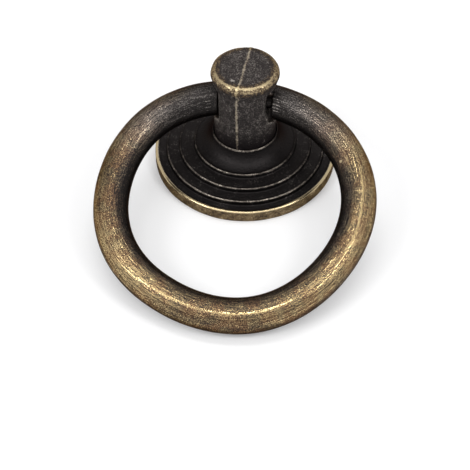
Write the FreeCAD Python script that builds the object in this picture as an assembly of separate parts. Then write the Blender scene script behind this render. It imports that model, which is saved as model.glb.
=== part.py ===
import FreeCAD, Part
import math
import os

# Ring pull handle for a drawer or cabinet door: three castings, in millimetres.
# A stepped round backplate lies on the door. A short post stands in its socket, held by one
# screw that comes through the door from behind. A thick ring hangs in two pockets of the
# post, on a pin at each of its ends, and lies here with its far side on the door.
# The origin is the centre of the backplate's back face. +Z points away from the door,
# the ring swings about a line along X, and at rest it lies towards -Y.

# Backplate
plate_radius = 15.0
rim_height = 2.05
rim_round = 0.3
rim_width = 0.45
channel_height = 1.75
outer_ridge_radius = 13.02
outer_ridge_height = 2.57
middle_ridge_radius = 10.89
middle_ridge_height = 3.26
inner_ridge_radius = 8.39
inner_ridge_height = 3.87
crest_width = 0.2
crest_depth = 0.12
lip_height = 6.3
lip_width = 0.13
lip_round = 0.12
socket_floor = 3.2
plate_wall = 1.3
seat_width = 2.5
hub_wall = 3.1
draft = 0.3

# Post
post_radius = 5.05
post_clearance = 0.12
spigot_radius = 3.0
spigot_clearance = 0.1
cap_radius = 5.46
cap_round = 1.1
cap_side = 1.56
neck_width = 7.8
pocket_floor = 2.25
pocket_corner = 0.6
head_room = 1.05
screw_radius = 1.65
screw_end_wall = 1.45
drill_angle = 118.0

# Ring
pivot_height = 12.6
ring_radius = 18.55
rod_radius = 2.74
end_gap = 0.45
end_round = 0.15
pin_radius = 1.1
pin_clearance = 0.05
pin_length = 3.2
pin_play = 0.15
swing_clearance = 0.2
# The ring hangs to one side by the play that its pins have along the bore, and it is a
# little out of round. Each wave is its number of crests, then how far the rod's centre line
# leaves the circle evenly and unevenly on the two sides of the post.
ring_waves = (
    (1, -0.132, 0.0), (2, -0.149, 0.0), (3, -0.169, 0.0), (4, -0.05, -0.13), (5, -0.042, 0.08),
)
ring_bends = 10

# How far cutting shapes reach past the metal, and the step and slack of the curve sums
cut_margin = 1.0
heading_step = 0.001
slack = 0.01

# What follows from those sizes
X_AXIS = FreeCAD.Vector(1, 0, 0)
Z_AXIS = FreeCAD.Vector(0, 0, 1)
DIAGONAL = math.sqrt(0.5)
ridges = (
    (outer_ridge_radius, outer_ridge_height),
    (middle_ridge_radius, middle_ridge_height),
    (inner_ridge_radius, inner_ridge_height),
)
socket_radius = post_radius + post_clearance
lip_radius = socket_radius + lip_width
hole_radius = spigot_radius + spigot_clearance
hub_radius = hole_radius + hub_wall
neck_half = neck_width / 2
end_x = neck_half + end_gap
end_angle = math.asin(end_x / ring_radius)
centre_reach = ring_radius * math.cos(end_angle)
bore_radius = pin_radius + pin_clearance


def section(start, *steps):
    """A face in the XZ plane: a step is a corner, or an arc's middle and end."""
    def place(point):
        return FreeCAD.Vector(point[0], 0, point[1])

    edges = []
    here = start
    for step in steps + (start,):
        if isinstance(step[0], tuple):
            middle, end = step
            edges.append(Part.Arc(place(here), place(middle), place(end)).toShape())
        else:
            end = step
            edges.append(Part.makeLine(place(here), place(end)))
        here = end
    return Part.Face(Part.Wire(edges))


def turned(face):
    """The solid that a section makes when it turns about the Z axis."""
    return face.revolve(FreeCAD.Vector(0, 0, 0), Z_AXIS, 360)


def rounded_corner(radius, height, size):
    """An arc over an outer top corner, from the side to the top."""
    middle = (radius - size * (1 - DIAGONAL), height - size * (1 - DIAGONAL))
    return middle, (radius - size, height)


def hollow_sweep(low, high):
    """An arc that leaves the low point flat and reaches the high point upright."""
    middle_radius = high[0] + (low[0] - high[0]) * (1 - DIAGONAL)
    middle_height = low[1] + (high[1] - low[1]) * (1 - DIAGONAL)
    return (middle_radius, middle_height), high


def upper_steps():
    """The backplate's stepped front, from the rim in to the foot of the hollow sweep."""
    points = [
        (plate_radius - rim_width, rim_height),
        (plate_radius - rim_width - draft, channel_height),
    ]
    tread = channel_height
    for radius, height in ridges:
        points.append((radius + crest_depth, tread))
        points.append((radius, height))
        points.append((radius - crest_width, height))
        tread = height - crest_depth
        points.append((radius - crest_width - crest_depth, tread))
    points.pop()
    return points


def back_steps():
    """The hollow of the back, which follows the steps of the front at one wall thickness."""
    points = []
    edge = plate_radius - seat_width
    ceiling = 0.0
    for radius, height in ridges:
        points.append((edge, ceiling))
        ceiling = height - crest_depth - plate_wall
        points.append((edge - draft, ceiling))
        inward = [other for other, level in ridges if other < radius]
        if inward:
            edge = max(inward) - plate_wall + draft
    points.append((hub_radius, ceiling))
    points.append((hub_radius, 0.0))
    return points


def backplate():
    steps = upper_steps()
    lip_foot = (lip_radius + lip_round, lip_height - lip_round)
    face = section(
        (plate_radius, 0.0),
        (plate_radius, rim_height - rim_round),
        rounded_corner(plate_radius, rim_height, rim_round),
        *steps,
        hollow_sweep(steps[-1], lip_foot),
        rounded_corner(lip_foot[0], lip_height, lip_round),
        (socket_radius, lip_height),
        (socket_radius, socket_floor),
        (hole_radius, socket_floor),
        (hole_radius, 0.0),
        *reversed(back_steps()),
    )
    return turned(face)


def ring_polar(angle):
    """The rod's distance from the ring's centre, with both ends kept where a circle has them."""
    radius = ring_radius
    lean = math.sin(angle) / math.sin(end_angle)
    for crests, even, odd in ring_waves:
        radius += even * (math.cos(crests * angle) - math.cos(crests * end_angle))
        radius += odd * (math.sin(crests * angle) - lean * math.sin(crests * end_angle))
    return radius


def ring_point(angle):
    """A point of the rod's centre line in the ring's plane: along X, and out from the pivot."""
    radius = ring_polar(angle)
    return radius * math.sin(angle), centre_reach - radius * math.cos(angle)


def ring_dip():
    """The angle at which the ring lies with its far side on the door."""
    reach = max(ring_point(math.radians(degrees))[1] for degrees in range(90, 270))
    return math.asin((pivot_height - rod_radius) / reach)


def ring_place(angle):
    across, out = ring_point(angle)
    dip = ring_dip()
    return FreeCAD.Vector(across, -out * math.cos(dip), pivot_height - out * math.sin(dip))


def ring_heading(angle):
    ahead, behind = ring_place(angle + heading_step), ring_place(angle - heading_step)
    return (ahead - behind).normalize()


def arc_along(start, heading, end):
    """The arc that leaves start along heading and comes to end, and its heading there."""
    chord = end - start
    length = chord.Length
    chord.normalize()
    along = heading.dot(chord)
    middle = (start + end) / 2 + (heading - chord * along) * (length / 2 / (1 + along))
    return Part.Arc(start, middle, end).toShape(), chord * (2 * along) - heading


def two_arcs(low, high):
    """Two arcs that follow the rod's centre line from one angle to another and meet smoothly."""
    start, end = ring_place(low), ring_place(high)
    leaving, arriving = ring_heading(low), ring_heading(high)
    span = end - start
    turn = 2 * (1 - leaving.dot(arriving))
    pull = span.dot(leaving + arriving)
    handle = (math.sqrt(pull * pull + turn * span.dot(span)) - pull) / turn
    joint = (start + end + (leaving - arriving) * handle) / 2
    first, heading = arc_along(start, leaving, joint)
    second, heading = arc_along(joint, heading, end)
    return [first, second]


def rod_reach(edge_radius):
    """How far the rod stands from the pivot line where it passes the post's edge."""
    angle = math.asin(edge_radius / ring_radius)
    return centre_reach - ring_radius * math.cos(angle) + rod_radius / math.cos(angle)


def ring():
    first = end_angle / 2
    last = 2 * math.pi - first
    stops = [first + (last - first) * bend / ring_bends for bend in range(ring_bends + 1)]
    path = Part.Wire([arc for low, high in zip(stops, stops[1:]) for arc in two_arcs(low, high)])
    circle = Part.Circle(ring_place(first), ring_heading(first), rod_radius)
    rod = path.makePipeShell([Part.Wire([circle.toShape()])], True, False)
    side = 2 * (rod_radius + cut_margin)
    corner = FreeCAD.Vector(pin_play - end_x, -side / 2, pivot_height - side / 2)
    gap = Part.makeBox(2 * end_x, side, side, corner)
    rod = rod.cut(gap)
    ends = [edge for edge in rod.Edges if on_end_face(edge)]
    rod = rod.makeFillet(end_round, ends)
    for side in (-1, 1):
        tip = pin_play + side * (end_x - pin_length)
        pin = Part.makeCylinder(
            pin_radius, pin_length + rod_radius / 2,
            FreeCAD.Vector(tip, 0, pivot_height), X_AXIS * side,
        )
        rod = rod.fuse(pin)
    return rod.removeSplitter()


def on_end_face(edge):
    """Whether an edge lies in one of the two flat faces at the rod's ends."""
    box = edge.BoundBox
    flat = box.XLength < slack
    return flat and abs(abs(box.Center.x - pin_play) - end_x) < slack


def pocket(side):
    """The room that one end of the ring turns in: a level shelf that is open to front and back,
    with a trough in it under the rod."""
    floor = pivot_height - pocket_floor
    outer = side * (cap_radius + cut_margin)
    inner = side * neck_half
    foot = (side * (neck_half + pocket_corner), floor)
    bend = pocket_corner * (1 - DIAGONAL)
    face = section(
        (inner, shoulder_height()),
        (inner, floor + pocket_corner),
        ((side * (neck_half + bend), floor + bend), foot),
        (outer, floor),
        (outer, shoulder_height()),
    )
    depth = cap_radius + cut_margin
    face.translate(FreeCAD.Vector(0, -depth, 0))
    shelf = face.extrude(FreeCAD.Vector(0, 2 * depth, 0))
    trough = Part.makeCylinder(
        rod_reach(post_radius) + swing_clearance, abs(outer - inner),
        FreeCAD.Vector(inner, 0, pivot_height), X_AXIS * side,
    )
    return shelf.fuse(trough)


def screw_hole():
    """The threaded hole for the fixing screw, bored from the back, with a drilled end."""
    point = screw_radius / math.tan(math.radians(drill_angle / 2))
    depth = pivot_height - bore_radius - screw_end_wall - point
    hole = Part.makeCylinder(screw_radius, depth)
    tip = Part.makeCone(screw_radius, 0, point, FreeCAD.Vector(0, 0, depth))
    return hole.fuse(tip)


def shoulder_height():
    """The height of the pockets' top, where the cap starts."""
    return pivot_height + rod_reach(cap_radius) + head_room


def post():
    shoulder = shoulder_height()
    cap_edge = shoulder + cap_side
    top = cap_edge + cap_round
    face = section(
        (0.0, 0.0),
        (spigot_radius, 0.0),
        (spigot_radius, socket_floor),
        (post_radius, socket_floor),
        (post_radius, shoulder),
        (cap_radius, cap_edge),
        rounded_corner(cap_radius, top, cap_round),
        (0.0, top),
    )
    body = turned(face)
    bore = Part.makeCylinder(
        bore_radius, neck_width + 2 * cut_margin,
        FreeCAD.Vector(-neck_half - cut_margin, 0, pivot_height), X_AXIS,
    )
    return body.cut([pocket(-1), pocket(1), bore, screw_hole()]).removeSplitter()


def save(name, shape):
    solid = shape.Solids[0]
    print(name, len(shape.Solids), "solid", round(solid.Volume, 2), "mm3", "valid", solid.isValid())
    solid.exportStep("parts/" + name + ".step")


os.makedirs("parts", exist_ok=True)
save("backplate", backplate())
save("post", post())
save("ring", ring())
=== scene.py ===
"""The looks of the ring pull handle: three antique brass castings on a pale table.

The sizes at the top are those of the solids, in millimetres. Every mesh is in metres, in the
solids' own frame: +Z out of the door, the ring swings about a line along X and rests towards -Y.
"""
import math

import bmesh
import bpy
import numpy as np
from mathutils import Matrix, Vector


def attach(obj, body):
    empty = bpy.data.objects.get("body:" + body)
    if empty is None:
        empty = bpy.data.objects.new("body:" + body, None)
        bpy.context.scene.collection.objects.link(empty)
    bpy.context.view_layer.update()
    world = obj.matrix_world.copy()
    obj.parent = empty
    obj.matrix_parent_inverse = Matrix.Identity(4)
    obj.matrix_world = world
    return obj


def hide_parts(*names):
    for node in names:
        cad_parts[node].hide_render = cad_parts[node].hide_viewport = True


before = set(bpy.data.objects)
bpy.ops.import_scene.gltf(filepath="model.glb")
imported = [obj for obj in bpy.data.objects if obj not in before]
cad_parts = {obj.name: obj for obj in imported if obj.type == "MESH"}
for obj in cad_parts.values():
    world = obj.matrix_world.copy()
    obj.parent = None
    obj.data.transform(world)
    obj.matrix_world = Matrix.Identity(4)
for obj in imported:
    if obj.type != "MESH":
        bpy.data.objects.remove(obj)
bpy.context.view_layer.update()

MM = 0.001
FULL_TURN = 2 * math.pi
# Points that lie closer than this, in metres, are one
WELD_DISTANCE = 1e-6

# Backplate
plate_radius = 15.0
rim_height = 2.05
rim_round = 0.3
rim_width = 0.45
channel_height = 1.75
# The outer radius and the height of each terrace's crest
ridges = ((13.02, 2.57), (10.89, 3.26), (8.39, 3.87))
crest_width = 0.2
crest_depth = 0.12
lip_radius = 5.3
lip_height = 6.3
lip_round = 0.12
socket_radius = 5.17
socket_floor = 3.2
hole_radius = 3.1
hub_radius = 6.2
plate_wall = 1.3
seat_width = 2.5
draft = 0.3
plate_steps = 432
plate_spacing = 0.24

# Post
post_radius = 5.05
spigot_radius = 3.0
cap_radius = 5.46
cap_round = 1.1
cap_top = 19.48
cap_underside = 16.82
neck_half = 3.9
shelf_height = 10.35
shelf_corner = 0.6
trough_radius = 3.23
# The right pocket's wall leans in towards its foot, where it is hollowed out
undercut = ((3.75, 16.82), (3.42, 13.9), (3.4, 13.4), (3.52, 12.7), (3.85, 11.8), (4.4, 11.0),
            (5.2, 10.5), (7.0, 10.5), (7.0, 16.82))
bore_radius = 1.15
screw_radius = 1.65
screw_depth = 10.0
post_steps = 160
post_voxel = 0.118
# A bare chip on the cap's top
cap_chip = (-1.6, -3.2, 19.48)

# Ring
pivot_height = 12.6
ring_radius = 18.55
rod_radius = 2.74
# How far the rod's end faces lie from the middle, and how far the ring hangs to one side
end_x = 4.35
pin_play = 0.15
end_round = 0.15
pin_radius = 1.1
pin_length = 3.2
# The ring's unevenness: how many crests go round it, and the heights of their cosine and sine
ring_waves = (
    (1, -0.132, 0.0), (2, -0.149, 0.0), (3, -0.169, 0.0), (4, -0.05, -0.13), (5, -0.042, 0.08),
)
rod_sections = 660
rod_sides = 128
# Marks at the rod's ends, where a tool held it. Each is its side of the post, its turn in degrees
# up from the front, how far from the end face it starts and stops, and its strength.
tool_marks = (
    (1, 55, 0.0, 1.2, 0.35), (1, 47, 0.2, 1.4, 0.45), (1, 37, 0.0, 1.5, 0.7), (1, 26, 0.0, 1.3, 0.7),
    (1, 15, 0.1, 1.4, 0.6), (-1, 36, 1.1, 2.2, 0.4), (-1, 26, 0.9, 1.9, 0.45), (-1, 15, 1.0, 2.2, 0.45),
    (-1, 3, 1.2, 2.0, 0.35),
)
mark_half_width = 0.13
mark_depth = 0.14
# The place on the ring's inner side where a small chip shows bare metal
ring_chip = (16.04, -11.13, 11.63)


# Meshes

def show(name, mesh):
    """A new object at the origin that shows the mesh."""
    piece = bpy.data.objects.new(name, mesh)
    bpy.context.scene.collection.objects.link(piece)
    return piece


def polyline(name, points, closed=False, **attributes):
    """A chain of points in millimetres, with a number at each point for every attribute."""
    count = len(points)
    links = [(i, i + 1) for i in range(count - 1)]
    if closed:
        links.append((count - 1, 0))
    mesh = bpy.data.meshes.new(name)
    mesh.from_pydata([Vector(point) * MM for point in points], links, [])
    for key, values in attributes.items():
        mesh.attributes.new(key, "FLOAT", "POINT").data.foreach_set("value", values)
    return show(name, mesh)


def plain_mesh(piece):
    """Turns a piece and its modifiers into a plain mesh."""
    bpy.context.view_layer.update()
    seen = piece.evaluated_get(bpy.context.evaluated_depsgraph_get())
    mesh = bpy.data.meshes.new_from_object(seen)
    mesh.name = piece.name
    piece.modifiers.clear()
    piece.data = mesh
    return mesh


def places(mesh):
    """The places of a mesh's vertices."""
    values = np.empty(len(mesh.vertices) * 3, np.float32)
    mesh.vertices.foreach_get("co", values)
    return values.reshape(-1, 3).astype(float)


def move_to(mesh, points):
    """Moves a mesh's vertices to the points, in metres."""
    mesh.vertices.foreach_set("co", points.astype(np.float32).ravel())
    mesh.update()


def facing(mesh):
    """The directions that a mesh's vertices face."""
    values = np.empty(len(mesh.vertices) * 3, np.float32)
    mesh.vertex_normals.foreach_get("vector", values)
    return values.reshape(-1, 3).astype(float)


def read_numbers(mesh, name):
    """The numbers that a mesh keeps for its vertices under a name."""
    values = np.empty(len(mesh.vertices), np.float32)
    mesh.attributes[name].data.foreach_get("value", values)
    return values.astype(float)


def write_numbers(mesh, name, values):
    """Keeps one number or one vector for each vertex, for the materials."""
    kind, field = ("FLOAT", "value") if values.ndim == 1 else ("FLOAT_VECTOR", "vector")
    layer = mesh.attributes.get(name) or mesh.attributes.new(name, kind, "POINT")
    layer.data.foreach_set(field, values.astype(np.float32).ravel())


def neighbours(mesh):
    """The two vertices of each edge."""
    links = np.empty(len(mesh.edges) * 2, np.int32)
    mesh.edges.foreach_get("vertices", links)
    return links.reshape(-1, 2)


def blurred(values, links, rounds):
    """Values at the vertices, averaged with their neighbours' over and over."""
    count = len(values)
    ends = np.concatenate((links[:, 0], links[:, 1]))
    others = np.concatenate((links[:, 1], links[:, 0]))
    share = np.maximum(np.bincount(ends, minlength=count), 1)
    flat = values.reshape(count, -1).copy()
    for _ in range(rounds):
        for column in range(flat.shape[1]):
            total = np.bincount(ends, flat[others, column], count)
            flat[:, column] = 0.4 * flat[:, column] + 0.6 * total / share
    return flat.reshape(values.shape)


def smooth_step(values, low, high):
    """0 below the low value, 1 above the high one, and a soft rise between them."""
    share = np.clip((values - low) / (high - low), 0, 1)
    return share * share * (3 - 2 * share)


def bell(values, middle, width):
    """1 at the middle, and falling off smoothly on both sides of it."""
    return np.exp(-((values - middle) / width) ** 2)


def keep_relief(mesh, rounds, edge_size):
    """Notes where a casting stands proud of what is round it, so that hands rub it."""
    links = neighbours(mesh)
    points = places(mesh)
    proud = ((points - blurred(points, links, rounds)) * facing(mesh)).sum(1)
    write_numbers(mesh, "edge", smooth_step(proud, 0.15 * edge_size * MM, edge_size * MM))


def kept_mesh(name, work):
    """A new mesh from a bmesh, which is freed."""
    mesh = bpy.data.meshes.new(name)
    work.to_mesh(mesh)
    work.free()
    return mesh


# Node trees

INPUT_KINDS = {
    "geometry": "NodeSocketGeometry",
    "number": "NodeSocketFloat",
    "whole": "NodeSocketInt",
    "vector": "NodeSocketVector",
    "colour": "NodeSocketColor",
    "finish": "NodeSocketMaterial",
}
SKIN_INPUTS = {"wave height": "number", "wave size": "number", "grain height": "number",
               "grain size": "number", "seed": "number"}


def new_tree(name, kind, inputs, outputs):
    """A node tree with named inputs and outputs, and its two end nodes."""
    tree = bpy.data.node_groups.new(name, kind)
    for label, what in inputs.items():
        tree.interface.new_socket(name=label, in_out="INPUT", socket_type=INPUT_KINDS[what])
    for label, what in outputs.items():
        tree.interface.new_socket(name=label, in_out="OUTPUT", socket_type=INPUT_KINDS[what])
    start = tree.nodes.new("NodeGroupInput")
    end = tree.nodes.new("NodeGroupOutput")
    return tree, start.outputs, end.inputs


def join(tree, value, socket):
    """Links a socket to another, or sets its plain value."""
    if isinstance(value, bpy.types.NodeSocket):
        tree.links.new(value, socket)
    else:
        socket.default_value = value


def add(tree, kind, inputs=None, **settings):
    """A node with its settings and its inputs, by name or number."""
    node = tree.nodes.new(kind)
    for name, value in settings.items():
        setattr(node, name, value)
    for key, value in (inputs or {}).items():
        join(tree, value, node.inputs[key])
    return node


def math_node(tree, operation, *values):
    node = add(tree, "ShaderNodeMath", operation=operation)
    for place, value in enumerate(values):
        join(tree, value, node.inputs[place])
    return node.outputs[0]


def use_tree(piece, tree, **values):
    """Puts a geometry tree on a piece, with its inputs set by their identifiers."""
    modifier = piece.modifiers.new(tree.name, "NODES")
    modifier.node_group = tree
    sockets = {item.name: item.identifier for item in tree.interface.items_tree
               if item.item_type == "SOCKET" and item.in_out == "INPUT"}
    for name, value in values.items():
        modifier[sockets[name.replace("_", " ")]] = value


def cast_skin_tree():
    """Unevenness of a casting: wide low waves and a finer grain, pushed out along the surface."""
    tree, given, result = new_tree("cast skin", "GeometryNodeTree",
                                   {"Geometry": "geometry", **SKIN_INPUTS}, {"Geometry": "geometry"})
    height = None
    for name, detail in (("wave", 1.0), ("grain", 2.0)):
        scale = math_node(tree, "DIVIDE", 1.0, given[name + " size"])
        texture = add(tree, "ShaderNodeTexNoise",
                      {"W": given["seed"], "Scale": scale, "Detail": detail}, noise_dimensions="4D")
        centred = math_node(tree, "SUBTRACT", texture.outputs[0], 0.5)
        lift = math_node(tree, "MULTIPLY", centred, given[name + " height"])
        height = lift if height is None else math_node(tree, "ADD", height, lift)
    normal = add(tree, "GeometryNodeInputNormal").outputs[0]
    push = add(tree, "ShaderNodeVectorMath", {0: normal, "Scale": height}, operation="SCALE")
    moved = add(tree, "GeometryNodeSetPosition",
                {"Geometry": given["Geometry"], "Offset": push.outputs[0]})
    join(tree, moved.outputs[0], result["Geometry"])
    return tree


def finished(tree, geometry, skin, given):
    """The end of a piece's tree: the uneven skin, faces shaded smooth, and the finish on them."""
    values = {name: given[name] for name in SKIN_INPUTS}
    uneven = add(tree, "GeometryNodeGroup", {"Geometry": geometry, **values}, node_tree=skin)
    smooth = add(tree, "GeometryNodeSetShadeSmooth", {"Geometry": uneven.outputs[0]})
    plain = add(tree, "GeometryNodeRealizeInstances", {"Geometry": smooth.outputs[0]})
    painted = add(tree, "GeometryNodeSetMaterial",
                  {"Geometry": plain.outputs[0], "Material": given["finish"]})
    return painted.outputs[0]


def unit_circle(tree, count):
    """A circle of radius 1 with that many points."""
    return add(tree, "GeometryNodeCurvePrimitiveCircle", {"Resolution": count, "Radius": 1.0}).outputs[0]


def named_number(tree, name):
    node = add(tree, "GeometryNodeInputNamedAttribute", {"Name": name}, data_type="FLOAT")
    return node.outputs[0]


def kept_number(tree, geometry, name, value):
    """The geometry with a number kept at each of its points."""
    return add(tree, "GeometryNodeStoreNamedAttribute",
               {"Geometry": geometry, "Name": name, "Value": value},
               data_type="FLOAT", domain="POINT").outputs[0]


def rod_tree(skin):
    """A round rod along a chain of points, each with the reach of its section."""
    tree, given, result = new_tree(
        "rod along a line", "GeometryNodeTree",
        {"Geometry": "geometry", "sides": "whole", **SKIN_INPUTS, "finish": "finish"},
        {"Geometry": "geometry"},
    )
    line = add(tree, "GeometryNodeMeshToCurve", {"Mesh": given["Geometry"]}).outputs[0]
    rod = add(tree, "GeometryNodeCurveToMesh",
              {"Curve": line, "Profile Curve": unit_circle(tree, given["sides"]),
               "Scale": named_number(tree, "reach"), "Fill Caps": True})
    join(tree, finished(tree, rod.outputs[0], skin, given), result["Geometry"])
    return tree


def turned_tree(skin):
    """A section in the XZ plane turned about the Z axis in equal steps."""
    tree, given, result = new_tree(
        "turned section", "GeometryNodeTree",
        {"Geometry": "geometry", "steps": "whole", **SKIN_INPUTS, "finish": "finish"},
        {"Geometry": "geometry"},
    )
    place = add(tree, "ShaderNodeSeparateXYZ", {0: add(tree, "GeometryNodeInputPosition").outputs[0]})
    noted = kept_number(tree, given["Geometry"], "reach", place.outputs["X"])
    noted = kept_number(tree, noted, "height", place.outputs["Z"])
    profile = add(tree, "GeometryNodeMeshToCurve", {"Mesh": noted}).outputs[0]
    index = add(tree, "GeometryNodeInputIndex").outputs[0]
    step = math_node(tree, "DIVIDE", FULL_TURN, given["steps"])
    angle = math_node(tree, "MULTIPLY", index, step)
    path = kept_number(tree, unit_circle(tree, given["steps"]), "angle", angle)
    swept = add(tree, "GeometryNodeCurveToMesh", {"Curve": path, "Profile Curve": profile})
    reach = named_number(tree, "reach")
    angle = named_number(tree, "angle")
    where = add(tree, "ShaderNodeCombineXYZ", {
        "X": math_node(tree, "MULTIPLY", reach, math_node(tree, "COSINE", angle)),
        "Y": math_node(tree, "MULTIPLY", reach, math_node(tree, "SINE", angle)),
        "Z": named_number(tree, "height"),
    })
    placed = add(tree, "GeometryNodeSetPosition",
                 {"Geometry": swept.outputs[0], "Position": where.outputs[0]})
    closed = add(tree, "GeometryNodeMergeByDistance",
                 {"Geometry": placed.outputs[0], "Distance": WELD_DISTANCE})
    join(tree, finished(tree, closed.outputs[0], skin, given), result["Geometry"])
    return tree


# Shared effects of the finishes

def spread(tree, value, low, high, new_low=0.0, new_high=1.0):
    """A value's range stretched to a new one, with soft ends."""
    return add(tree, "ShaderNodeMapRange",
               {"Value": value, "From Min": low, "From Max": high, "To Min": new_low, "To Max": new_high},
               interpolation_type="SMOOTHSTEP").outputs[0]


def mixed(tree, share, first, second):
    """A colour between two. The mix node's colours come after its numbers and vectors."""
    node = add(tree, "ShaderNodeMix", data_type="RGBA")
    join(tree, share, node.inputs[0])
    join(tree, first, node.inputs[6])
    join(tree, second, node.inputs[7])
    return node.outputs[2]


def noise(tree, vector, size, detail, roughness=0.55):
    """Soft noise whose features have a size in millimetres, given plainly or by a socket."""
    scale = 1.0 / (size * MM) if isinstance(size, float) else math_node(tree, "DIVIDE", 1.0 / MM, size)
    return add(tree, "ShaderNodeTexNoise",
               {"Vector": vector, "Scale": scale, "Detail": detail, "Roughness": roughness}).outputs[0]


def tarnish_group():
    """Blackened brass that hands have rubbed: dark where it was left, then brown, then bright. The rub it
    is given also holds painted highlights and painted shade.
    """
    tree, given, result = new_tree(
        "tarnish", "ShaderNodeTree",
        {"place": "vector", "rub": "number", "mottle size": "number", "mottle": "number",
         "speckle size": "number", "speckle": "number",
         "dark": "colour", "brown": "colour", "bright": "colour"},
        {"colour": "colour", "roughness": "number", "rubbed": "number"},
    )
    blotch = math_node(tree, "SUBTRACT", noise(tree, given["place"], given["mottle size"], 4.0), 0.5)
    dots = math_node(tree, "SUBTRACT", noise(tree, given["place"], given["speckle size"], 2.0, 0.7), 0.5)
    level = math_node(tree, "MULTIPLY_ADD", blotch, given["mottle"], given["rub"])
    level = math_node(tree, "MULTIPLY_ADD", dots, given["speckle"], level)
    browned = mixed(tree, spread(tree, level, 0.08, 0.46), given["dark"], given["brown"])
    colour = mixed(tree, spread(tree, level, 0.44, 0.92), browned, given["bright"])
    join(tree, colour, result["colour"])
    join(tree, spread(tree, level, 0.1, 1.0, 0.45, 0.22), result["roughness"])
    join(tree, spread(tree, level, 0.1, 0.9), result["rubbed"])
    return tree


def cast_grain_group():
    """The height of a cast surface: fine grain with small pits in it."""
    tree, given, result = new_tree(
        "cast grain", "ShaderNodeTree",
        {"place": "vector", "grain size": "number", "pit size": "number", "pits": "number"},
        {"height": "number"},
    )
    grain = noise(tree, given["place"], given["grain size"], 4.0, 0.65)
    cells = add(tree, "ShaderNodeTexVoronoi",
                {"Vector": given["place"],
                 "Scale": math_node(tree, "DIVIDE", 1.0 / MM, given["pit size"])}).outputs[0]
    pit = math_node(tree, "MULTIPLY", spread(tree, cells, 0.0, 0.35, 1.0, 0.0), given["pits"])
    join(tree, math_node(tree, "SUBTRACT", grain, pit), result["height"])
    return tree


def brush_group():
    """Fine lines that brushing leaves along a rod: long one way and thin the other."""
    tree, given, result = new_tree(
        "brush lines", "ShaderNodeTree",
        {"along": "vector", "line width": "number", "line length": "number"},
        {"height": "number"},
    )
    parts = add(tree, "ShaderNodeSeparateXYZ", {0: given["along"]})
    shrink = math_node(tree, "DIVIDE", given["line width"], given["line length"])
    flat = add(tree, "ShaderNodeCombineXYZ", {
        "X": math_node(tree, "MULTIPLY", parts.outputs["X"], shrink),
        "Y": parts.outputs["Y"], "Z": parts.outputs["Z"],
    }).outputs[0]
    join(tree, noise(tree, flat, given["line width"], 3.0, 0.6), result["height"])
    return tree


def attribute(tree, name, vector=False):
    """What the mesh keeps for its vertices under a name."""
    node = add(tree, "ShaderNodeAttribute", attribute_name=name, attribute_type="GEOMETRY")
    return node.outputs["Vector" if vector else "Fac"]


def group(tree, effect, **values):
    """The outputs of a shared effect with its inputs set."""
    node = add(tree, "ShaderNodeGroup", node_tree=effect)
    for name, value in values.items():
        join(tree, value, node.inputs[name.replace("_", " ")])
    return node.outputs


def new_material(name):
    """A material, its tree and the inputs of its shader."""
    material = bpy.data.materials.new(name)
    material.use_nodes = True
    tree = material.node_tree
    shader = next(node for node in tree.nodes if node.type == "BSDF_PRINCIPLED")
    return material, tree, shader.inputs


def new_finish(name):
    """A metal material, its tree, the inputs of its shader, and the places on the piece."""
    material, tree, shader = new_material(name)
    shader["Metallic"].default_value = 1.0
    shader["Specular Tint"].default_value = (0.4, 0.35, 0.3, 1)
    return material, tree, shader, add(tree, "ShaderNodeTexCoord").outputs["Object"]


def lay_finish(tree, shader, out, roughness, height, strength, depth):
    """Joins a tarnish to a shader, with a bump that is worn down where hands have rubbed it."""
    left = math_node(tree, "MULTIPLY_ADD", out["rubbed"], -0.9, 1.0)
    bump = add(tree, "ShaderNodeBump", {"Strength": strength, "Distance": depth * MM,
                                        "Height": math_node(tree, "MULTIPLY", height, left)})
    join(tree, out["colour"], shader["Base Color"])
    join(tree, roughness, shader["Roughness"])
    join(tree, bump.outputs[0], shader["Normal"])


# Colours of the metal where dark finish is left on it, where that is worn to brown, and where it
# is rubbed bright. In a pair, the first is the cast skin's, and the second is that of the post's
# foot, darker there as painted shade, or of a rubbed edge. The ring's two warm browns lie side by side in
# patches.
POST_DARKS = ((0.054, 0.048, 0.047, 1), (0.025, 0.021, 0.022, 1))
POST_BROWNS = ((0.165, 0.147, 0.137, 1), (0.17, 0.12, 0.075, 1))
POST_BRIGHTS = ((0.5, 0.46, 0.42, 1), (0.5, 0.4, 0.24, 1))
PLATE_DARK = (0.025, 0.0225, 0.0225, 1)
PLATE_BROWNS = ((0.16, 0.145, 0.135, 1), (0.17, 0.122, 0.07, 1))
PLATE_BRIGHTS = ((0.62, 0.57, 0.52, 1), (0.66, 0.53, 0.32, 1))
RING_DARK = (0.03, 0.027, 0.026, 1)
RING_COOL_BROWN = (0.15, 0.136, 0.128, 1)
RING_WARM_BROWNS = ((0.178, 0.1, 0.056, 1), (0.145, 0.103, 0.063, 1))
RING_BRIGHTS = ((0.6, 0.55, 0.5, 1), (0.64, 0.485, 0.25, 1))


def post_material(tarnish, grain):
    """The post: a grainy dark cast skin, rubbed bright on the cap's edge and the seam, with a painted
    highlight on the cap's front, painted light in the pockets and painted shade low down where it meets the
    plate.
    """
    material, tree, shader, place = new_finish("post finish")
    dark = mixed(tree, attribute(tree, "shaded_foot"), *POST_DARKS)
    brown = mixed(tree, attribute(tree, "rim"), *POST_BROWNS)
    bright = mixed(tree, attribute(tree, "rim"), *POST_BRIGHTS)
    out = group(tree, tarnish, place=place, rub=attribute(tree, "rub"), mottle_size=0.8, mottle=1.1,
                speckle_size=0.24, speckle=2.2, dark=dark, brown=brown, bright=bright)
    relief = group(tree, grain, place=place, grain_size=0.4, pit_size=0.6, pits=0.5)
    roughness = math_node(tree, "MULTIPLY", out["roughness"], 1.35)
    lay_finish(tree, shader, out, roughness, relief["height"], strength=1.0, depth=0.2)
    return material


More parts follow.
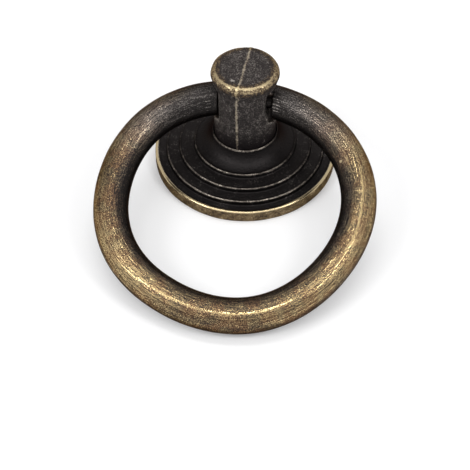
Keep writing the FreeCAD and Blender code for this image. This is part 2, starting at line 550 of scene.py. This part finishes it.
def plate_material(tarnish, grain):
    """The backplate: blackened in its steps, rubbed on the crests and bright round the rim, with a painted
    highlight on the front crests and painted shade round the post.
    """
    material, tree, shader, place = new_finish("plate finish")
    brown = mixed(tree, attribute(tree, "rim"), *PLATE_BROWNS)
    bright = mixed(tree, attribute(tree, "rim"), *PLATE_BRIGHTS)
    out = group(tree, tarnish, place=place, rub=attribute(tree, "rub"), mottle_size=1.6, mottle=0.9,
                speckle_size=0.22, speckle=1.5, dark=PLATE_DARK, brown=brown, bright=bright)
    relief = group(tree, grain, place=place, grain_size=0.4, pit_size=0.8, pits=0.4)
    lay_finish(tree, shader, out, out["roughness"], relief["height"], strength=0.9, depth=0.09)
    return material


def ring_material(tarnish, grain, brush):
    """The ring: brushed along the rod, brown and gold outside and left dark inside, with painted highlights
    along it and painted shade on its underside.
    """
    material, tree, shader, place = new_finish("ring finish")
    along = attribute(tree, "rod", vector=True)
    warmth = attribute(tree, "warmth")
    lines = group(tree, brush, along=along, line_width=0.12, line_length=2.4)["height"]
    bands = group(tree, brush, along=along, line_width=0.17, line_length=6.0)["height"]
    rub = math_node(tree, "MULTIPLY_ADD", math_node(tree, "SUBTRACT", lines, 0.5),
                    attribute(tree, "scratch"), attribute(tree, "rub"))
    rub = math_node(tree, "MULTIPLY_ADD", math_node(tree, "SUBTRACT", bands, 0.5), 0.8, rub)
    patches = spread(tree, noise(tree, place, 2.4, 2.0), 0.42, 0.58)
    brown = mixed(tree, warmth, RING_COOL_BROWN, mixed(tree, patches, *RING_WARM_BROWNS))
    out = group(tree, tarnish, place=place, rub=rub, mottle_size=1.2, mottle=0.3,
                speckle_size=0.15, speckle=2.3, dark=RING_DARK, brown=brown,
                bright=mixed(tree, warmth, *RING_BRIGHTS))
    relief = group(tree, grain, place=place, grain_size=0.3, pit_size=0.7, pits=0.4)
    height = math_node(tree, "MULTIPLY_ADD", lines, 0.8, relief["height"])
    # The painted highlight line along the bottom is also less rough
    dull = math_node(tree, "MULTIPLY_ADD", attribute(tree, "polish_and_highlight"), -0.5, 0.85)
    roughness = math_node(tree, "MULTIPLY", out["roughness"], dull)
    lay_finish(tree, shader, out, roughness, height, strength=0.7, depth=0.035)
    return material


# Backplate

def rounded_path(corners, spacing):
    """Points along a closed section. Each corner is its two coordinates and its rounding."""
    points = []
    count = len(corners)
    for number, (x, z, size) in enumerate(corners):
        before = Vector(corners[number - 1][:2])
        after = Vector(corners[(number + 1) % count][:2])
        here = Vector((x, z))
        arrive = (here - before).normalized()
        turn = arrive.angle_signed((after - here).normalized())
        trim = abs(math.tan(turn / 2)) * size
        start = here - arrive * trim
        if points:
            points += evenly_between(points[-1], start, spacing)
        steps = max(1, round(abs(turn) * size / (0.35 * spacing))) if size else 0
        side = Vector((-arrive.y, arrive.x)) * (-1 if turn > 0 else 1)
        centre = start + side * size
        for step in range(steps + 1):
            arm = (start - centre).copy()
            arm.rotate(Matrix.Rotation(-turn * step / max(steps, 1), 2))
            points.append(tuple(centre + arm))
        if not size:
            points[-1] = tuple(here)
    points += evenly_between(points[-1], points[0], spacing)
    return [(x, 0.0, z) for x, z in points]


def evenly_between(last, following, spacing):
    """The points that part the straight run between two points into even pieces."""
    last, following = Vector(last), Vector(following)
    pieces = max(1, round((following - last).length / spacing))
    return [tuple(last.lerp(following, i / pieces)) for i in range(1, pieces)]


def plate_section():
    """The backplate's section: the stepped front, the socket, and the hollow back."""
    corners = [
        (plate_radius, 0.0, 0.15),
        (plate_radius, rim_height, rim_round),
        (plate_radius - rim_width, rim_height, 0.12),
        (plate_radius - rim_width - draft, channel_height, 0.12),
    ]
    tread = channel_height
    for radius, height in ridges:
        corners.append((radius + crest_depth, tread, 0.1))
        corners.append((radius, height, 0.09))
        corners.append((radius - crest_width, height, 0.08))
        tread = height - crest_depth
        corners.append((radius - crest_width - crest_depth, tread, 0.1))
    foot_radius = corners.pop()[0]
    for share in np.linspace(0, math.pi / 2, 14):
        reach = (foot_radius - lip_radius - lip_round) * math.sin(share)
        rise = (lip_height - lip_round - tread) * (1 - math.cos(share))
        corners.append((foot_radius - reach, tread + rise, 0.0))
    ceilings = [height - crest_depth - plate_wall for radius, height in ridges]
    middle, inner = (radius - plate_wall + draft for radius, height in ridges[1:])
    corners += [
        (lip_radius, lip_height, 0.05),
        (socket_radius, lip_height, 0.05),
        (socket_radius, socket_floor, 0.0),
        (hole_radius, socket_floor, 0.1),
        (hole_radius, 0.0, 0.1),
        (hub_radius, 0.0, 0.2),
        (hub_radius, ceilings[2], 0.3),
        (inner - draft, ceilings[2], 0.2),
        (inner, ceilings[1], 0.2),
        (middle - draft, ceilings[1], 0.2),
        (middle, ceilings[0], 0.2),
        (plate_radius - seat_width - draft, ceilings[0], 0.2),
        (plate_radius - seat_width, 0.0, 0.2),
    ]
    return rounded_path(corners, plate_spacing)


def make_backplate(turned, finish):
    """The backplate, with how rubbed it is, its painted highlight and painted shade, and how warm its metal
    looks, kept on its mesh.
    """
    piece = polyline("backplate_casting", plate_section(), closed=True)
    use_tree(piece, turned, steps=plate_steps, wave_height=0.09 * MM, wave_size=3.5 * MM,
             grain_height=0.035 * MM, grain_size=0.5 * MM, seed=3.0, finish=finish)
    mesh = plain_mesh(piece)
    face_out(mesh)
    keep_relief(mesh, 10, 0.05)
    points = places(mesh) / MM
    reach = np.hypot(points[:, 0], points[:, 1])
    edge = read_numbers(mesh, "edge")
    front = smooth_step(-points[:, 1] / reach.clip(1), 0.1, 0.85)
    rim = smooth_step(reach, plate_radius - 0.6, plate_radius - 0.35)
    crown = rim * smooth_step(points[:, 2], rim_height - 0.2, rim_height - 0.05)
    on_lip = 1 - smooth_step(reach, lip_radius + 0.3, lip_radius + 0.7)
    # Crests are rubbed edges, made brighter towards the front as a painted highlight
    crests = edge * (1 - rim) * (0.16 + 0.4 * front) * (1 + 0.3 * on_lip)
    # Painted shade: the sweep up to the lip round the post is made darker
    shaded_sweep = 1 - smooth_step(reach, 7.9, 8.5)
    write_numbers(mesh, "rub", -0.04 - 0.2 * shaded_sweep + 0.42 * rim + 0.8 * crown + crests)
    write_numbers(mesh, "rim", np.maximum(rim, 0.22 * edge))
    return piece


def face_out(mesh):
    """Turns a closed mesh's faces outwards."""
    work = bmesh.new()
    work.from_mesh(mesh)
    if work.calc_volume(signed=True) < 0:
        bmesh.ops.reverse_faces(work, faces=work.faces)
    work.to_mesh(mesh)
    work.free()
    mesh.update()


# Ring

def ring_polar(angle):
    """The uneven ring's radius at an angle. Its end faces stay where a round ring has them."""
    radius = ring_radius
    end_angle = math.asin(end_x / ring_radius)
    lean = math.sin(angle) / math.sin(end_angle)
    for crests, even, odd in ring_waves:
        radius += even * (math.cos(crests * angle) - math.cos(crests * end_angle))
        radius += odd * (math.sin(crests * angle) - lean * math.sin(crests * end_angle))
    return radius


def ring_point(angle):
    """A point of the rod's centre line in the ring's plane: along X, and out from the pivot."""
    radius = ring_polar(angle)
    return radius * math.sin(angle), math.sqrt(ring_radius ** 2 - end_x ** 2) - radius * math.cos(angle)


far_reach = max(ring_point(math.radians(degrees))[1] for degrees in range(90, 270))
ring_dip = math.asin((pivot_height - rod_radius) / far_reach)
out_way = Vector((0, -math.cos(ring_dip), -math.sin(ring_dip)))
up_way = Vector((0, -math.sin(ring_dip), math.cos(ring_dip)))
pivot = Vector((0, 0, pivot_height))


def ring_stations():
    """Every section of the ring from one pin's tip round to the other's: its centre and reach."""
    starts = {side: math.asin((end_x + side * pin_play) / ring_radius) for side in (-1, 1)}
    turns = [math.radians(degrees) for degrees in (15, 30, 45, 60, 75)]
    rounds = [(end_round * (1 - math.cos(a)) / ring_radius, end_round * math.sin(a)) for a in turns]
    face = rod_radius - end_round
    near = [(starts[1] + ahead, face + wider) for ahead, wider in rounds]
    far = [(FULL_TURN - starts[-1] - ahead, face + wider) for ahead, wider in reversed(rounds)]
    first = starts[1] + end_round / ring_radius
    last = FULL_TURN - starts[-1] - end_round / ring_radius
    rod = [(angle, rod_radius) for angle in np.linspace(first, last, rod_sections)]
    line = []
    for angle, reach in near + rod + far:
        across, out = ring_point(angle)
        # Near its ends the line is drawn in to the one that the pins turn about
        start = starts[1] if angle < math.pi else FULL_TURN - starts[-1]
        away = abs(angle - start) * ring_radius
        out -= ring_point(start)[1] * float(1 - smooth_step(away, 0.3, 4.0))
        line.append((pivot + Vector((across, 0, 0)) + out_way * out, reach))
    return pin_stations(1) + line + pin_stations(-1)[::-1]


def pin_stations(side):
    """The sections of one pin, from its tip out to the rod's end face."""
    face_x = end_x + side * pin_play - 0.01
    tip = face_x - pin_length
    half = [(tip, pin_radius - 0.2), (tip + 0.1, pin_radius - 0.05)]
    half += [(x, pin_radius) for x in np.linspace(tip + 0.2, face_x, 9)]
    # The end face grows out from the pin in steps that hardly move along it
    face_steps = 6
    growth = (rod_radius - end_round - pin_radius) / face_steps
    half += [(face_x + 0.002 * step, pin_radius + growth * step) for step in range(1, face_steps + 1)]
    return [(pivot + Vector((side * x, 0, 0)), reach) for x, reach in half]


def make_ring(rod, finish):
    """The ring with its pins: a rod along the ring's line, with its ends cut square."""
    stations = ring_stations()
    centres = np.array([place for place, reach in stations])
    reaches = np.array([reach for place, reach in stations])
    numbers = np.arange(len(stations), dtype=float)
    piece = polyline("ring_casting", [tuple(c) for c in centres], reach=reaches * MM, station=numbers)
    use_tree(piece, rod, sides=rod_sides, wave_height=0.12 * MM, wave_size=6.0 * MM,
             grain_height=0.02 * MM, grain_size=0.45 * MM, seed=8.0, finish=finish)
    mesh = plain_mesh(piece)
    face_out(mesh)
    points = places(mesh) / MM
    station = np.clip(np.round(read_numbers(mesh, "station")).astype(int), 0, len(stations) - 1)
    centre = centres[station]
    way = np.gradient(centres, axis=0)
    way = (way / np.linalg.norm(way, axis=1)[:, None])[station]
    steps = np.linalg.norm(np.diff(centres, axis=0), axis=1)
    travel = np.concatenate(([0], np.cumsum(steps)))
    from_face = (np.minimum(travel, travel[-1] - travel) - pin_length)[station]
    # The rod's ends are cut square to the pins, so the sections near them turn to match.
    weight = 1 - smooth_step(from_face, 0.5, 4.0)
    away = (centre[:, 0] - points[:, 0]) / way[:, 0].clip(-1, 1)
    points += way * np.where(np.abs(way[:, 0]) > 0.5, away * weight, 0)[:, None]
    arm = points - centre
    length = np.linalg.norm(arm, axis=1)
    marks = ring_marks(arm, from_face, np.sign(centre[:, 0]))
    points += arm / length[:, None] * (mark_depth * marks)[:, None]
    move_to(mesh, points * MM)
    radial = centre - np.array(pivot + out_way * math.sqrt(ring_radius ** 2 - end_x ** 2))
    radial /= np.linalg.norm(radial, axis=1)[:, None]
    outward = (arm * radial).sum(1)
    upward = (arm * np.array(up_way)).sum(1)
    write_numbers(mesh, "rod", np.stack((travel[station], outward, upward), 1) * MM)
    round_way = np.degrees(np.arctan2(radial[:, 0], (radial * np.array(out_way)).sum(1)))
    chip = np.linalg.norm(points - np.array(ring_chip), axis=1)
    scraped = 1.6 * marks + 0.9 * (1 - smooth_step(chip, 0.15, 0.35))
    wear_ring(mesh, round_way, from_face, outward / length, upward / length, scraped)
    return piece


def wear_ring(mesh, round_way, from_face, turn_out, turn_up, scraped):
    """Keeps on the ring's mesh how rubbed, warm and scratched it is and where it is smoother, with painted
    highlights and painted shade in its rub.

    round_way is the way round the ring in degrees from its far side, positive to the right.
    turn_out and turn_up say how much the surface faces away from the ring's middle, and up.
    """
    far = smooth_step(from_face, 1.0, 28.0)
    front = bell(round_way, 0, 34)
    behind = smooth_step(np.abs(round_way), 85, 130)
    on_left = 1.0 * (round_way < 0)
    left_arc = bell(round_way, -95, 26)
    # Painted highlights: the rod is made brighter and more scratched at the lower left and lower right
    patch = bell(round_way, -47, 22) + 0.5 * bell(round_way, 50, 30)
    # Painted shade: the rod's underside is made darker and less warm
    under = smooth_step(-turn_up - 0.5 * front, -0.55, 0.0)
    inner = smooth_step(-turn_out, 0.15, 0.75) * (1 - 0.8 * behind) * (1 - 0.5 * front)
    # The rub rises where the rod faces up and out: partly wear on the top, partly painted shade on faces
    # turned down to the table
    lean = 0.6 - 0.5 * behind - 0.21 * front
    facing_up = lean * turn_out + np.sqrt(1 - lean ** 2) * turn_up
    facing_up = (facing_up - 0.5 * under - 0.3 * inner).clip(-0.4, 1)
    out_of_pocket = 0.4 + 0.6 * smooth_step(from_face, 1.0, 16.0)
    all_round = 0.27 - 0.12 * front - 0.13 * left_arc + 0.05 * behind
    rub = -0.13 + all_round * far + (0.38 + 0.12 * patch) * facing_up * out_of_pocket
    # Lines and spots of painted highlight, each at a turn of the rod, in degrees up from its outside; the
    # first line is also smoother
    turn = np.degrees(np.arctan2(turn_up, turn_out))
    polish_and_highlight = bell(turn, 75, 4.2) * bell(round_way, 0, 38)
    highlight_streak = bell(turn - 6.5 * smooth_step(round_way, 66, 90), 73, 3)
    highlight_streak *= smooth_step(round_way, 62, 76) * (1 - smooth_step(round_way, 100, 116))
    highlight_spots = bell(turn, 116, 9) * bell(round_way, 144, 9) + bell(turn, 120, 7) * bell(round_way, -121, 9)
    shoulder = smooth_step(turn_out, -0.8, 0.5) * (1 - far) * smooth_step(from_face, 1.0, 8.0)
    rub += 0.42 * polish_and_highlight + 0.5 * highlight_streak + 0.25 * highlight_spots
    rub += (0.07 - 0.05 * on_left) * smooth_step(np.abs(round_way), 98, 125)
    rub += (0.1 - 0.04 * on_left) * shoulder
    rub += scraped
    on_pin = from_face < 0.02
    write_numbers(mesh, "rub", np.where(on_pin, -0.1, rub))
    write_numbers(mesh, "polish_and_highlight", polish_and_highlight)
    warmth = smooth_step(from_face + 2 * np.sign(round_way), 4.0, 21.0)
    warmth = np.maximum(warmth, 0.5 * smooth_step(shoulder, 0.1, 0.8))
    write_numbers(mesh, "warmth", warmth * (1 - 0.7 * under) * (1 - 0.5 * inner))
    write_numbers(mesh, "scratch", 0.8 + 0.9 * patch * smooth_step(facing_up, 0, 0.7) + 0.4 * (1 - far))


def ring_marks(arm, from_face, side):
    """How strongly each point of the rod lies in one of the tool's marks."""
    turn = np.degrees(np.arctan2(arm[:, 2], -arm[:, 1]))
    found = np.zeros(len(arm))
    for mark_side, mark_turn, start, stop, strength in tool_marks:
        off = np.radians(turn - mark_turn) * rod_radius
        crest = bell(off, 0, mark_half_width) - 0.35 * bell(off, 0, 2.2 * mark_half_width)
        begun = smooth_step(from_face, start - 0.02, start + 0.12)
        zone = begun * (1 - smooth_step(from_face, stop - 0.15, stop))
        found += strength * crest * zone * (side == mark_side)
    return found


# Post

def post_section():
    """The post's outline, from the axis below the spigot to the axis on the cap's top."""
    outline = [(0.0, 0.0), (spigot_radius, 0.0), (spigot_radius, socket_floor), (post_radius, socket_floor)]
    outline += [(post_radius, z) for z in np.linspace(socket_floor + 0.5, cap_underside, 20)]
    edge = cap_top - cap_round
    outline.append((cap_radius, edge))
    for turn in np.linspace(0.1, 1.0, 9) * math.pi / 2:
        inset = cap_round * (1 - math.cos(turn))
        outline.append((cap_radius - inset, edge + cap_round * math.sin(turn)))
    outline.append((0.0, cap_top))
    return [(x, 0.0, z) for x, z in outline]


def block(name, outline, depth):
    """A closed block: an outline in the XZ plane that runs along Y, both ways from the middle."""
    work = bmesh.new()
    front = [work.verts.new(Vector((x, -depth, z)) * MM) for x, z in outline]
    back = [work.verts.new(Vector((x, depth, z)) * MM) for x, z in outline]
    count = len(outline)
    work.faces.new(front)
    work.faces.new(back[::-1])
    for i in range(count):
        work.faces.new((front[i], back[i], back[(i + 1) % count], front[(i + 1) % count]))
    bmesh.ops.recalc_face_normals(work, faces=work.faces)
    return show(name, kept_mesh(name, work))


def bar(name, radius, length, middle, along_x=False):
    """A round bar with its middle at a place, along Z or along X."""
    place = Matrix.Translation(Vector(middle) * MM)
    if along_x:
        place = place @ Matrix.Rotation(math.pi / 2, 4, "Y")
    work = bmesh.new()
    bmesh.ops.create_cone(work, cap_ends=True, segments=96, radius1=radius * MM, radius2=radius * MM,
                          depth=length * MM, matrix=place)
    bmesh.ops.recalc_face_normals(work, faces=work.faces)
    return show(name, kept_mesh(name, work))


def post_cutters():
    """The two pockets, the right one's undercut, the pins' bore and the screw hole."""
    found = []
    # How far the cutters reach, to pass the cap on every side
    depth = cap_radius + 1
    corner = [(neck_half + shelf_corner * (1 - math.cos(turn)),
               shelf_height + shelf_corner * (1 - math.sin(turn)))
              for turn in np.linspace(0, math.pi / 2, 7)]
    outline = [(neck_half, cap_underside), *corner, (depth, shelf_height), (depth, cap_underside)]
    for side in (-1, 1):
        found.append(block("shelf", [(side * x, z) for x, z in outline], depth))
        middle = (side * (neck_half + depth) / 2, 0, pivot_height)
        found.append(bar("trough", trough_radius, depth - neck_half, middle, along_x=True))
    found.append(block("undercut", undercut, depth))
    found.append(bar("bore", bore_radius, 2 * depth, (0, 0, pivot_height), along_x=True))
    found.append(bar("screw hole", screw_radius, screw_depth + 1, (0, 0, screw_depth / 2 - 0.5)))
    return found


# The casting seam's line, from the cap's back over its top and down the post's front
SEAM = (
    (0.42, 5.4, 18.4), (0.38, 4.4, 19.48), (0.23, 2.86, 19.48), (0.15, 1.44, 19.48),
    (-0.12, 0.24, 19.48), (-0.18, -1.38, 19.48), (-0.26, -2.77, 19.48), (-0.38, -3.46, 19.48),
    (-0.6, -4.6, 19.4), (-0.8, -5.3, 18.8), (-0.82, -5.3, 18.3), (-0.7, -5.25, 17.9),
    (-0.4, -5.2, 17.5), (-0.78, -5.1, 16.9), (-0.87, -5.03, 15.8), (-0.85, -5.02, 14.5),
    (-0.83, -5.02, 12.8), (-0.8, -5.02, 10.6), (-0.76, -5.02, 8.3), (-0.72, -5.02, 3.0),
)


def distance_to_line(points, line):
    """How far each point is from a chain of points, and how far along the chain that is."""
    best = np.full(len(points), 1e9)
    where = np.zeros(len(points))
    travel = 0.0
    for start, end in zip(line, line[1:]):
        start, end = np.array(start), np.array(end)
        run = end - start
        length = np.linalg.norm(run)
        share = np.clip(((points - start) @ run) / length ** 2, 0, 1)
        gap = np.linalg.norm(points - start - share[:, None] * run, axis=1)
        closer = gap < best
        best[closer] = gap[closer]
        where[closer] = travel + share[closer] * length
        travel += length
    return best, where


def make_post(turned, skin, finish):
    """The post: its outline turned, its pockets and holes cut, the seam raised, and its grain."""
    piece = polyline("post_casting", post_section())
    use_tree(piece, turned, steps=post_steps, finish=finish)
    cutters = post_cutters()
    for cutter in cutters:
        cut = piece.modifiers.new(cutter.name, "BOOLEAN")
        cut.operation = "DIFFERENCE"
        cut.solver = "EXACT"
        cut.object = cutter
    plain_mesh(piece)
    for cutter in cutters:
        bpy.data.objects.remove(cutter)
    face_out(piece.data)
    remesh = piece.modifiers.new("even faces", "REMESH")
    remesh.mode = "VOXEL"
    remesh.voxel_size = post_voxel * MM
    remesh.use_smooth_shade = True
    mesh = plain_mesh(piece)
    move_to(mesh, blurred(places(mesh), neighbours(mesh), 4))
    keep_relief(mesh, 26, 0.07)
    normals = facing(mesh)
    ridge = raise_seam(mesh, normals)
    wear_post(mesh, normals, ridge)
    use_tree(piece, skin, wave_height=0.14 * MM, wave_size=1.8 * MM,
             grain_height=0.11 * MM, grain_size=0.6 * MM, seed=5.0)
    mesh = plain_mesh(piece)
    mesh.materials.clear()
    mesh.materials.append(finish)
    return piece


def raise_seam(mesh, normals):
    """Raises the casting seam on the post, and says how near each point is to its ridge."""
    points = places(mesh) / MM
    on_cap = (normals[:, 2] > 0.5) * (points[:, 2] > cap_top - 0.7)
    outwards = (normals[:, 0] * points[:, 0] + normals[:, 1] * points[:, 1]) / post_radius
    outside = smooth_step(outwards + on_cap, 0.3, 0.7)
    gap, where = distance_to_line(points, SEAM)
    width = 0.25 + 0.05 * np.sin(where * 2.3) + 0.03 * np.sin(where * 7.1 + 1)
    ridge = (1 - smooth_step(gap, 0.2 * width, 1.6 * width)) * outside
    height = 0.11 + 0.03 * np.sin(where * 3.1 + 2) + 0.02 * np.sin(where * 9.7)
    move_to(mesh, (points + normals * (ridge * height)[:, None]) * MM)
    return ridge


def wear_post(mesh, normals, ridge):
    """Keeps on the post's mesh how rubbed it is, with a painted highlight on the cap's front and painted
    light on the pocket walls, where its metal is warm, and the painted shade low on the post.
    """
    points = places(mesh) / MM
    reach = np.hypot(points[:, 0], points[:, 1])
    height = points[:, 2]
    front = smooth_step(-points[:, 1] / reach.clip(1), -0.1, 0.75)
    tilt = np.degrees(np.arctan2(height - cap_top + cap_round, reach - cap_radius + cap_round))
    band = smooth_step(height, 18.66, 18.9) * smooth_step(reach, 4.4, 4.85)
    # Painted highlight: the worn band on the cap's edge is brightest at its front, at the tilt where the
    # key lamp's highlight falls
    band *= 0.34 + front * (0.03 + 0.62 * bell(tilt, 65, 12))
    flank = smooth_step(np.abs(points[:, 0]), 1.8, 3.8) * (height < 18)
    edge = read_numbers(mesh, "edge") * 0.25 * (1 - smooth_step(height, 17.6, 18.2))
    # Painted shade: the post is made darker low down, near the plate, in its colour and its rub
    shaded_foot = 1 - smooth_step(height, 6.2, 10.2)
    chip = np.linalg.norm((points - np.array(cap_chip)) * (0.6, 1, 1), axis=1)
    bare = 1 - smooth_step(chip, 0.1, 0.28)
    # The pocket walls are made lighter: painted light in the shaded pockets, and partly wear from the
    # ring's ends
    inside = (np.abs(points[:, 0]) < 4.2) & (np.abs(points[:, 1]) < 3.4) & (np.abs(normals[:, 0]) > 0.5)
    walls = inside & (height > shelf_height) & (height < cap_underside)
    seam = ridge ** 2 * (0.62 + 0.2 * (height < 18.3))
    rub = 0.17 + 0.07 * flank - 0.43 * shaded_foot + band + edge + seam + 1.2 * bare + 0.2 * walls
    rim = smooth_step(reach, 3.8, 4.3) * smooth_step(height, 17.8, 18.4)
    write_numbers(mesh, "rub", rub)
    write_numbers(mesh, "shaded_foot", shaded_foot)
    write_numbers(mesh, "rim", np.maximum(rim, 0.5 * ridge))


# Table, lights and camera

# The table's half side and how far it lies under the part, in metres
TABLE_HALF_SIDE = 1.5
TABLE_DROP = 0.00002
ROOM_LIGHT = 0.68
# The place that the lamps look at, in millimetres
LAMP_TARGET = (0, -15, 5)
# Each lamp's name, azimuth and elevation in degrees, distance, width and height in metres, and power
LAMPS = (
    ("key lamp", 0, 68, 0.6, 0.34, 0.06, 0.42),
    ("top lamp", 180, 80, 0.6, 0.34, 0.04, 0.45),
    ("left lamp", -54, 44, 0.6, 0.22, 0.22, 0.85),
    ("right lamp", 68, 48, 0.6, 0.2, 0.2, 0.7),
)
# The camera, fitted to the outlines: its angles in degrees, its distance in metres, and the
# place that it looks at in millimetres
CAMERA_LENS = 96.36
CAMERA_AZIMUTH = 6.904
CAMERA_ELEVATION = 49.70
CAMERA_ROLL = -0.627
CAMERA_DISTANCE = 0.2
CAMERA_TARGET = (0.287, -17.876, 0)


def make_table():
    """A pale table just under the part, so that their faces don't meet."""
    work = bmesh.new()
    bmesh.ops.create_grid(work, x_segments=1, y_segments=1, size=TABLE_HALF_SIDE)
    mesh = kept_mesh("table", work)
    mesh.transform(Matrix.Translation((0, 0, -TABLE_DROP)))
    material, _, shader = new_material("table")
    shader["Base Color"].default_value = (0.86, 0.86, 0.865, 1)
    shader["Emission Color"].default_value = (1, 1, 1, 1)
    shader["Emission Strength"].default_value = 0.15
    shader["Roughness"].default_value = 0.6
    shader["Specular IOR Level"].default_value = 0.2
    mesh.materials.append(material)
    show("table", mesh)


def direction(azimuth, elevation):
    """The way from the handle to a lamp or the camera, from its angles in degrees."""
    azimuth, elevation = math.radians(azimuth), math.radians(elevation)
    level = math.cos(elevation)
    return Vector((math.sin(azimuth) * level, -math.cos(azimuth) * level, math.sin(elevation)))


def lamp(name, azimuth, elevation, distance, width, height, power):
    """A soft lamp, wider or taller, that looks at the handle from a direction in degrees."""
    data = bpy.data.lights.new(name, "AREA")
    data.shape = "RECTANGLE"
    data.size = width
    data.size_y = height
    data.energy = power
    light = bpy.data.objects.new(name, data)
    bpy.context.scene.collection.objects.link(light)
    way = direction(azimuth, elevation)
    light.location = Vector(LAMP_TARGET) * MM + way * distance
    right = Vector((0, 0, 1)).cross(way).normalized()
    light.rotation_euler = Matrix((right, way.cross(right), way)).transposed().to_euler()


def light_scene():
    """An even white room and the lamps."""
    world = bpy.data.worlds.new("room")
    world.use_nodes = True
    room = world.node_tree.nodes["Background"].inputs
    room["Color"].default_value = (1, 1, 1, 1)
    room["Strength"].default_value = ROOM_LIGHT
    bpy.context.scene.world = world
    for values in LAMPS:
        lamp(*values)


def aim_camera():
    """The camera, turned a little about the way that it looks."""
    data = bpy.data.cameras.new("camera")
    data.sensor_width = 36
    data.lens = CAMERA_LENS
    data.clip_start = 0.01
    roll = math.radians(CAMERA_ROLL)
    back = direction(CAMERA_AZIMUTH, CAMERA_ELEVATION)
    right = (-back).cross(Vector((0, 0, 1))).normalized()
    up = right.cross(-back)
    right, up = (right * math.cos(roll) + up * math.sin(roll),
                 up * math.cos(roll) - right * math.sin(roll))
    camera = bpy.data.objects.new("camera", data)
    bpy.context.scene.collection.objects.link(camera)
    place = Matrix.Translation(Vector(CAMERA_TARGET) * MM + back * CAMERA_DISTANCE)
    camera.matrix_world = place @ Matrix((right, up, back)).transposed().to_4x4()
    bpy.context.scene.camera = camera


# The handle, put together

bpy.context.scene.view_settings.view_transform = "Standard"
skin = cast_skin_tree()
turned = turned_tree(skin)
tarnish = tarnish_group()
grain = cast_grain_group()
brush = brush_group()

backplate = make_backplate(turned, plate_material(tarnish, grain))
post = make_post(turned, skin, post_material(tarnish, grain))
ring = make_ring(rod_tree(skin), ring_material(tarnish, grain, brush))

for piece, node, body in ((backplate, "backplate", "base"), (post, "post", "base"),
                          (ring, "ring", "pull")):
    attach(piece, body)
    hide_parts(node)

make_table()
light_scene()
aim_camera()
